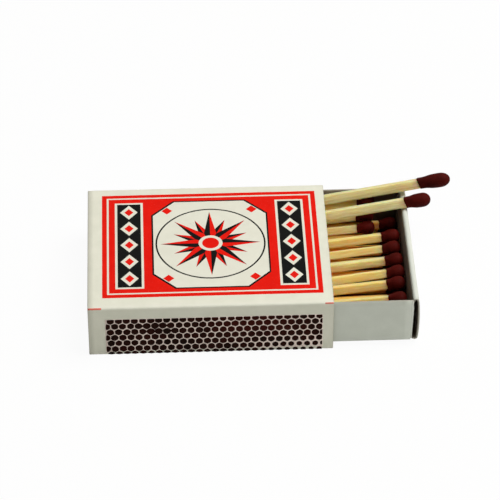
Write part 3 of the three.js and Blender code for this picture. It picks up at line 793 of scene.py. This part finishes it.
def add_head(parts, number, draw, look):
    """A dipped head: its section turns from the splint's square into a circle as it swells, with lumps that
    are a sum of sines of the angle and the length. Its edge on the splint starts late by look's late and
    slant, a cosine of the angle, which die out towards the tip as (1 - t) ** 2."""
    tail, along, across, up, length, side = stick_axes(f"match_{number:02d}_stick")
    side *= look["stout"]
    neck = tail + (length - SOCKET_DEPTH) * along
    node = node_points(f"match_{number:02d}_head")
    reach = float(((node - neck) @ along).max())
    full = float(np.ptp(node @ across)) / 2
    coated = side / 2 + COAT
    angle = np.linspace(0, 2 * np.pi, HEAD_COLUMNS, endpoint=False)
    t = HEAD_SHARES
    neck_swell, round_from, lumpy_from, lump_height, pole_depth = 1.12, 0.45, 0.3, 0.004, 0.3
    neck_squareness, end_squareness, end_share, slant_from, ripple = 9, 12, 0.97, 1.9, 0.05
    radius = head_radius(t, neck_swell * coated, full * draw.uniform(0.98, 1.0) * look["full"])
    rounded = eased(np.clip(t / round_from, 0, 1)[:, None])
    square = coated * round_square(angle, neck_squareness)[None]
    dome = (radius / np.maximum.accumulate(radius))[:, None]
    section = ((1 - rounded) * square + rounded * radius[:, None] / dome) * dome
    section[0] = (side / 2 * end_share) * round_square(angle, end_squareness)
    numbers, phases = waves(draw, 4, 1, 4)
    lumps = sum(np.sin(angle[None] * around + t[:, None] * 2 * lengthwise + phase)
                for around, lengthwise, phase in zip(numbers, numbers[::-1], phases)) * lump_height
    section = section * (1 + lumps * np.clip(t / lumpy_from, 0, 1)[:, None])
    lean = look["late"] + look["slant"] * np.cos(angle - slant_from) + ripple * np.sin(3 * angle + phases[0])
    place = t[:, None] * reach + lean[None] * (1 - t[:, None]) ** 2
    turned = angle + look["roll"]
    shape = (neck + place[..., None] * along + (section * np.cos(turned))[..., None] * across
             + (section * np.sin(turned))[..., None] * up)
    poles = np.stack([neck + pole_depth * along, neck + reach * along])
    parts.add(np.concatenate([shape.reshape(-1, 3), poles]), tube_faces(len(t), HEAD_COLUMNS), 0)


MATCH_COUNT = sum(1 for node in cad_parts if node.endswith("_stick"))
TOP_LAYER_FROM = 18

# What sets some matches apart: the two loose ones, 28 and 27, pale without the tray's painted bounce light,
# and three that are paler, with less of it
LOOKS = {
    28: {"tint": 0.0, "roll": -27, "slant": -0.42, "late": 0.38, "stout": 1.16, "full": 1.05, "swell": 0.03,
         "sink": 0.15},
    27: {"tint": 0.0, "roll": -29, "slant": -0.24, "late": 0.22, "stout": 1.18, "full": 1.03, "swell": 0.0,
         "sink": 0.10},
    25: {"tint": 0.6},
    24: {"tint": 0.5},
    21: {"tint": 0.35},
}


def look_of(number, draw):
    """How a match lies and what it's like: tint is 0 for pale wood, 1 for gold, the wood with painted warm
    bounce light from inside the tray, and 2 for amber, painted shade, roll is in degrees about its length,
    slant and late are how far the dip's edge leans and starts late, in millimetres, stout and full multiply
    the splint's side and the head's radius, and the splint's middle is thicker by the share swell and lower
    by sink times its side. Under the top layer the splints are amber, painted shade for where they show in
    the gaps, and fill the gaps above them."""
    on_top = number >= TOP_LAYER_FROM
    look = {
        # Splints in the tray get gold, painted warm bounce light, and those under the top layer amber,
        # painted shade
        "tint": draw.uniform(0.7, 1.0) if on_top else 2.0,
        "roll": -float(np.clip(draw.normal(31, 7), 14, 43)),
        "slant": draw.uniform(-0.12, 0.12),
        "late": 0.0,
        "stout": 1.0,
        "full": 1.0,
        "swell": 0.13 if on_top else 0.38,
        "sink": 0.09 if on_top else -0.27,
    }
    look.update(LOOKS.get(number, {}))
    look["roll"] = math.radians(look["roll"])
    return look


def make_matches(wood, coat):
    """Every match as two pieces, its splint and its dipped head, all drawn from one seed in their order."""
    draw = np.random.default_rng(7)
    for number in range(1, MATCH_COUNT + 1):
        name = f"match_{number:02d}"
        look = look_of(number, draw)
        stick, head = Parts(), Parts()
        add_stick(stick, f"{name}_stick", draw, look)
        add_head(head, number, draw, look)
        splint = stick.piece(f"{name}_splint", "tray", "splint_wood", [wood])
        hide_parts(f"{name}_stick")
        dipped = head.piece(f"{name}_dipped_head", "tray", "match_head", [coat])
        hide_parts(f"{name}_head")


# Materials


class Shader:
    """A material's nodes: a Principled surface, and short ways to add the nodes that feed it."""

    def __init__(self, name, roughness, specular):
        self.material = bpy.data.materials.new(name)
        self.material.use_nodes = True
        self.tree = self.material.node_tree
        self.surface = self.tree.nodes["Principled BSDF"]
        self.surface.inputs["Roughness"].default_value = roughness
        self.surface.inputs["Specular IOR Level"].default_value = specular
        self.place = self.tree.nodes.new("ShaderNodeTexCoord").outputs["Object"]

    def node(self, kind, inputs=(), **settings):
        """A new node with its settings, and a value or a link for each of the inputs."""
        made = self.tree.nodes.new(kind)
        for key, value in settings.items():
            setattr(made, key, value)
        for key, value in dict(inputs).items():
            self.set(made.inputs[key], value)
        return made

    def set(self, socket, value):
        """Links another node's output to the socket, or gives it a value."""
        if isinstance(value, bpy.types.NodeSocket):
            self.tree.links.new(value, socket)
        elif isinstance(value, tuple) and len(value) == 3 and socket.type == "RGBA":
            socket.default_value = (*value, 1)
        else:
            socket.default_value = value

    def attribute(self, name, output="Fac"):
        """One of the values that the points carry."""
        return self.node("ShaderNodeAttribute", attribute_name=name).outputs[output]

    def scaled(self, vector, scale):
        """A place multiplied by a scale along each axis."""
        return self.node("ShaderNodeMapping", {"Vector": vector, "Scale": scale}).outputs[0]

    def noise(self, vector, scale, detail=3.0, roughness=0.55):
        """Clouds whose size is about 1 / scale."""
        values = {"Vector": vector, "Scale": scale, "Detail": detail, "Roughness": roughness}
        return self.node("ShaderNodeTexNoise", values).outputs["Fac"]

    def ramp(self, value, *stops):
        """A share from a value, straight between two stops, each a value and the share there."""
        made = self.node("ShaderNodeValToRGB", {"Fac": value})
        for element, (place, share) in zip(made.color_ramp.elements, stops):
            element.position = place
            element.color = (share, share, share, 1)
        return made.outputs["Color"]

    def mix(self, share, first, second):
        """The first colour where the share is 0, and the second where it's 1."""
        made = self.node("ShaderNodeMix", data_type="RGBA")
        for key, value in ((0, share), (6, first), (7, second)):
            self.set(made.inputs[key], value)
        return made.outputs[2]

    def math(self, operation, first, second):
        """Two values joined by an operation, kept from 0 to 1."""
        values = {0: first, 1: second}
        return self.node("ShaderNodeMath", values, operation=operation, use_clamp=True).outputs[0]

    def bump(self, height, distance, strength, normal=None):
        """A normal tilted by a height, over another one where that is given."""
        values = {"Height": height, "Distance": distance, "Strength": strength}
        if normal is not None:
            values["Normal"] = normal
        return self.node("ShaderNodeBump", values).outputs[0]

    def finish(self, colour, normal):
        """Gives the surface its colour and its normal, and returns the material."""
        self.set(self.surface.inputs["Base Color"], colour)
        self.set(self.surface.inputs["Normal"], normal)
        return self.material


def card_material(name, roughness, colour, dark, inner, worn, raw):
    """Pressed card: cloudy fibres, pale scuffs on folds, a raw tone on cut edges and a duller inner side,
    which on the tray's grey board is near black as painted shade.
    """
    shader = Shader(name, roughness, 0.2)
    clouds = shader.noise(shader.place, 320.0, 4.0)
    fibres = shader.noise(shader.scaled(shader.place, (1.0, 3.2, 3.2)), 1500.0, 4.0, 0.65)
    specks = shader.noise(shader.place, 5200.0, 2.0)
    face = shader.mix(shader.ramp(clouds, (0.35, 0.0), (0.68, 1.0)), dark, colour)
    face = shader.mix(shader.ramp(fibres, (0.30, 0.30), (0.62, 0.0)), face, dark)
    scuffed = shader.ramp(clouds, (0.3, 0.2), (0.7, 0.6))
    face = shader.mix(shader.math("MULTIPLY", shader.attribute("wear"), scuffed), face, worn)
    # The inner side's tone, and painted shade where the outer side takes it; on the tray's grey board the
    # tone is near black, painted shade inside the tray
    face = shader.mix(shader.attribute("inside"), face, inner)
    face = shader.mix(shader.attribute("cut"), face, raw)
    coarse = shader.bump(fibres, 0.00004, 0.5)
    return shader.finish(face, shader.bump(specks, 0.00002, 0.5, coarse))


def ink_material(name, colour, dark, thin=0.12):
    """Ink on card: nearly even, a little thinner where the card's fibres stand up."""
    shader = Shader(name, 0.5, 0.04)
    clouds = shader.noise(shader.place, 420.0, 4.0)
    fibres = shader.noise(shader.scaled(shader.place, (1.0, 2.6, 2.6)), 2600.0, 3.0, 0.6)
    card = (0.75, 0.70, 0.62)
    face = shader.mix(shader.ramp(clouds, (0.32, 0.0), (0.7, 1.0)), dark, colour)
    face = shader.mix(shader.ramp(fibres, (0.62, 0.0), (0.80, thin)), face, card)
    return shader.finish(face, shader.bump(fibres, 0.00002, 0.4))


def pad_material():
    """Striking composition: near black, browner in patches, grainy all over, and redder by each pad's random
    share of red and by a painted highlight at the strips' upper right.
    """
    shader = Shader("striking_composition", 0.85, 0.04)
    black, brown, red, grain = ((0.006, 0.0022, 0.0012), (0.014, 0.0035, 0.0020),
                                (0.042, 0.0050, 0.0032), (0.070, 0.026, 0.016))
    patches = shader.noise(shader.place, 160.0)
    grains = shader.noise(shader.place, 4200.0, 3.0, 0.7)
    face = shader.mix(shader.ramp(patches, (0.40, 0.0), (0.66, 1.0)), black, brown)
    face = shader.mix(shader.attribute("redness"), face, red)
    face = shader.mix(shader.ramp(grains, (0.50, 0.0), (0.78, 0.55)), face, grain)
    return shader.finish(face, shader.bump(grains, 0.00006, 0.7))


def wood_material():
    """Aspen: long pale and golden streaks and fine pores along the splint, and a stain close to the head. Its
    patterns read the splint's own lengthwise and crosswise place, moved to another plank for each splint."""
    shader = Shader("aspen_splint", 0.65, 0.15)
    grain, plank = shader.attribute("grain", "Vector"), shader.attribute("plank", "Vector")
    place = shader.node("ShaderNodeVectorMath", {0: grain, 1: plank}, operation="ADD").outputs[0]
    streaks = shader.noise(shader.scaled(place, (0.10, 1.3, 1.3)), 1.6, 4.0, 0.65)
    pores = shader.noise(shader.scaled(place, (0.55, 9.0, 9.0)), 1.7, 3.0, 0.65)
    light = shader.ramp(streaks, (0.33, 0.0), (0.68, 1.0))
    # pale is the wood's own colour, gold is painted warm bounce light from inside the tray and amber is
    # painted shade under the top layer; tint picks among them
    pale = shader.mix(light, (0.74, 0.60, 0.26), (0.92, 0.83, 0.47))
    gold_painted_bounce_light = shader.mix(light, (0.94, 0.60, 0.16), (0.98, 0.76, 0.32))
    amber_painted_shade = shader.mix(light, (0.86, 0.42, 0.08), (0.96, 0.58, 0.15))
    pore, stain = (0.52, 0.30, 0.08), (0.62, 0.36, 0.24)
    tint = shader.attribute("tint")
    face = shader.mix(shader.math("SUBTRACT", tint, 1.0), shader.mix(tint, pale, gold_painted_bounce_light), amber_painted_shade)
    face = shader.mix(shader.ramp(pores, (0.26, 0.32), (0.44, 0.0)), face, pore)
    from_neck = shader.node("ShaderNodeSeparateXYZ", {0: grain}).outputs["X"]
    stained = shader.node("ShaderNodeMapRange", {"Value": from_neck, "From Min": -2.4, "From Max": -1.1,
                                                 "To Min": 0.0, "To Max": 0.42}).outputs[0]
    face = shader.mix(stained, face, stain)
    for name, value in (("Subsurface Weight", 0.75), ("Subsurface Radius", (1.0, 0.50, 0.17)),
                        ("Subsurface Scale", 0.0028)):
        shader.surface.inputs[name].default_value = value
    rough = shader.bump(streaks, 0.00010, 0.5)
    return shader.finish(face, shader.bump(pores, 0.00005, 0.7, rough))


def head_material():
    """Dipped head: dull maroon, darker in patches, with a fine crust."""
    shader = Shader("dipped_head", 0.6, 0.04)
    dark, maroon, crumb = (0.040, 0.0024, 0.0014), (0.074, 0.0042, 0.0025), (0.13, 0.018, 0.013)
    patches = shader.noise(shader.place, 420.0)
    crust = shader.noise(shader.place, 5200.0, 3.0, 0.65)
    face = shader.mix(shader.ramp(patches, (0.34, 0.0), (0.68, 1.0)), dark, maroon)
    face = shader.mix(shader.ramp(crust, (0.55, 0.0), (0.80, 0.3)), face, crumb)
    return shader.finish(face, shader.bump(crust, 0.00005, 0.6))


# Stage

FLOOR_HALF = 3.0


def show_camera(tree, share, plain, seen, output):
    """The plain shader, and on rays from the camera the given share of the seen one over it. Such rays may
    come straight, or by way of a glossy or clear surface."""
    path = tree.nodes.new("ShaderNodeLightPath").outputs

    def math_node(operation, first):
        made = tree.nodes.new("ShaderNodeMath")
        made.operation = operation
        tree.links.new(first, made.inputs[0])
        return made

    direct = math_node("MAXIMUM", path["Is Camera Ray"])
    tree.links.new(path["Is Glossy Ray"], direct.inputs[1])
    either = math_node("MAXIMUM", direct.outputs[0])
    tree.links.new(path["Is Transmission Ray"], either.inputs[1])
    scaled = math_node("MULTIPLY", either.outputs[0])
    scaled.inputs[1].default_value = share
    blend = tree.nodes.new("ShaderNodeMixShader")
    for socket, value in zip(blend.inputs, (scaled, plain, seen)):
        tree.links.new(value.outputs[0], socket)
    tree.links.new(blend.outputs[0], tree.nodes[output].inputs["Surface"])


def make_floor():
    """A flat sheet of paper that takes shadows, and is nearly pure white to the camera."""
    mesh = bpy.data.meshes.new("floor")
    corners = rectangle(-FLOOR_HALF, FLOOR_HALF, -FLOOR_HALF, FLOOR_HALF)
    mesh.from_pydata([(x, y, 0) for x, y in corners], [], [(0, 1, 2, 3)])
    floor = bpy.data.objects.new("floor", mesh)
    bpy.context.scene.collection.objects.link(floor)
    material = bpy.data.materials.new("floor_paper")
    material.use_nodes = True
    tree = material.node_tree
    tree.nodes.remove(tree.nodes["Principled BSDF"])
    paper = tree.nodes.new("ShaderNodeBsdfDiffuse")
    paper.inputs["Color"].default_value = (0.82, 0.82, 0.80, 1)
    glow = tree.nodes.new("ShaderNodeEmission")
    glow.inputs["Color"].default_value = (1, 1, 1, 1)
    show_camera(tree, 0.95, paper, glow, "Material Output")
    mesh.materials.append(material)


def make_world(strength):
    """An even light from all round, which the camera sees as white."""
    world = bpy.data.worlds.new("studio")
    bpy.context.scene.world = world
    world.use_nodes = True
    tree = world.node_tree
    ambient = tree.nodes["Background"]
    ambient.inputs["Color"].default_value = (0.96, 0.98, 1.0, 1)
    ambient.inputs["Strength"].default_value = strength
    seen = tree.nodes.new("ShaderNodeBackground")
    seen.inputs["Color"].default_value = (1, 1, 1, 1)
    show_camera(tree, 1.0, ambient, seen, "World Output")


def make_lamp(name, place, target, size, power, colour):
    """A square lamp at a place, turned so that it shines towards the target."""
    lamp = bpy.data.lights.new(name, "AREA")
    lamp.shape = "SQUARE"
    lamp.size = size
    lamp.energy = power
    lamp.color = colour
    item = bpy.data.objects.new(name, lamp)
    item.location = place
    item.rotation_mode = "QUATERNION"
    item.rotation_quaternion = (Vector(target) - Vector(place)).to_track_quat("-Z", "Y")
    bpy.context.scene.collection.objects.link(item)


AZIMUTH = math.radians(-2.311)
ELEVATION = math.radians(39.376)
CAMERA_DISTANCE = 609.335
FOCAL_LENGTH = 209.8
SENSOR = 36.0
AIM = (10.0, 0.0, 6.0)
AIM_RIGHT = -1.296
AIM_UP = 3.730


def make_camera():
    """The camera looks from AZIMUTH and ELEVATION at AIM, moved by AIM_RIGHT and AIM_UP in the picture."""
    back = Vector((math.sin(AZIMUTH) * math.cos(ELEVATION),
                   -math.cos(AZIMUTH) * math.cos(ELEVATION), math.sin(ELEVATION)))
    right = Vector((math.cos(AZIMUTH), math.sin(AZIMUTH), 0))
    up = back.cross(right)
    target = Vector(AIM) + AIM_RIGHT * right + AIM_UP * up
    data = bpy.data.cameras.new("camera")
    data.sensor_width = SENSOR
    data.lens = FOCAL_LENGTH
    data.clip_start, data.clip_end = 0.05, 20
    camera = bpy.data.objects.new("camera", data)
    turned = Matrix((right, up, back)).transposed()
    camera.matrix_world = Matrix.Translation((target + CAMERA_DISTANCE * back) * MM) @ turned.to_4x4()
    bpy.context.scene.collection.objects.link(camera)
    bpy.context.scene.camera = camera


# The finishes, the pieces and the studio

sleeve_card = card_material("coated_card", 0.5, colour=(0.80, 0.79, 0.67), dark=(0.745, 0.74, 0.62),
                            inner=(0.46, 0.44, 0.35), worn=(0.80, 0.785, 0.69), raw=(0.46, 0.44, 0.36))
# The grey board's inner tone is near black: its raw inner side darkened as painted shade for the inside of
# the tray
tray_card = card_material("grey_board", 0.7, colour=(0.685, 0.71, 0.635), dark=(0.645, 0.67, 0.595),
                          inner=(0.105, 0.075, 0.055), worn=(0.72, 0.735, 0.68), raw=(0.44, 0.42, 0.36))
net = card_material("strip_net", 0.7, colour=(0.93, 0.79, 0.72), dark=(0.85, 0.71, 0.64),
                    inner=(0.5, 0.45, 0.4), worn=(0.93, 0.79, 0.72), raw=(0.60, 0.53, 0.46))
inks = [
    ink_material("red_ink", (0.80, 0.012, 0.005), (0.73, 0.009, 0.004)),
    ink_material("black_ink", (0.003, 0.004, 0.003), (0.002, 0.002, 0.002), 0.03),
    ink_material("white_ink", (0.79, 0.78, 0.67), (0.75, 0.74, 0.63)),
]
tick_ink = ink_material("thin_red_ink", (0.80, 0.14, 0.10), (0.76, 0.26, 0.20), 0.3)

make_sleeve([sleeve_card])
make_label(inks)
make_fold_ticks(tick_ink)
strip_finish = [net, pad_material()]
make_strip("front_striking_strip", "front_striker", FRONT_WALL, upward=False, seed=3, materials=strip_finish)
make_strip("back_striking_strip", "back_striker", BACK_WALL, upward=True, seed=4, materials=strip_finish)
make_tray([tray_card])
make_matches(wood_material(), head_material())
make_floor()
make_world(0.09)
make_lamp("key", place=(0.44, 0.03, 0.92), target=(0.01, 0, 0.01), size=0.65, power=11.5,
          colour=(1.0, 0.99, 0.96))
make_lamp("front_fill", place=(-0.12, -0.80, 0.26), target=(0.01, 0, 0.005), size=0.4, power=0.45,
          colour=(0.93, 1.0, 0.92))
make_camera()

scene = bpy.context.scene
scene.view_settings.view_transform = "Standard"
